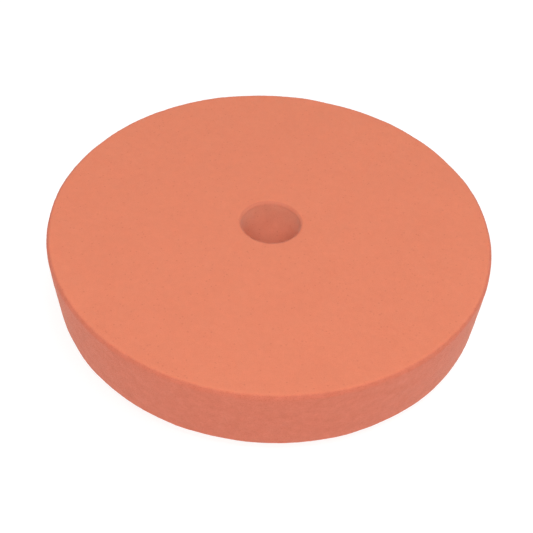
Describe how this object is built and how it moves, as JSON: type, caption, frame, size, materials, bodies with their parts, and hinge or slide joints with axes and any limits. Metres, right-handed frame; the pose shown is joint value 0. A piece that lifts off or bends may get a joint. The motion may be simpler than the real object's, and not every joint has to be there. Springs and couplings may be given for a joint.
{
  "type": "polishing pad",
  "caption": "Round foam polishing pad with a flat working face, slightly tapered wall, through centre hole and a recessed loop-fabric back.",
  "frame": {"origin": "on the pad's axis, in the plane of the loop tips, where the pad rests on a table or meets the backing plate", "axes": "+Z along the pad's axis, from the loop side towards the working face; X and Y are equivalent, because the pad is round"},
  "size_m": [0.1498, 0.1498, 0.0273],
  "materials": {
    "foam": "matte",
    "hot_melt_film": "satin",
    "loop_knit": "matte",
    "loop_nylon": "matte"
  },
  "bodies": {
    "root": {"foam_disc": "foam", "adhesive_film": "hot_melt_film", "loop_ground": "loop_knit", "loop_pile": "loop_nylon"}
  },
  "joints": []
}
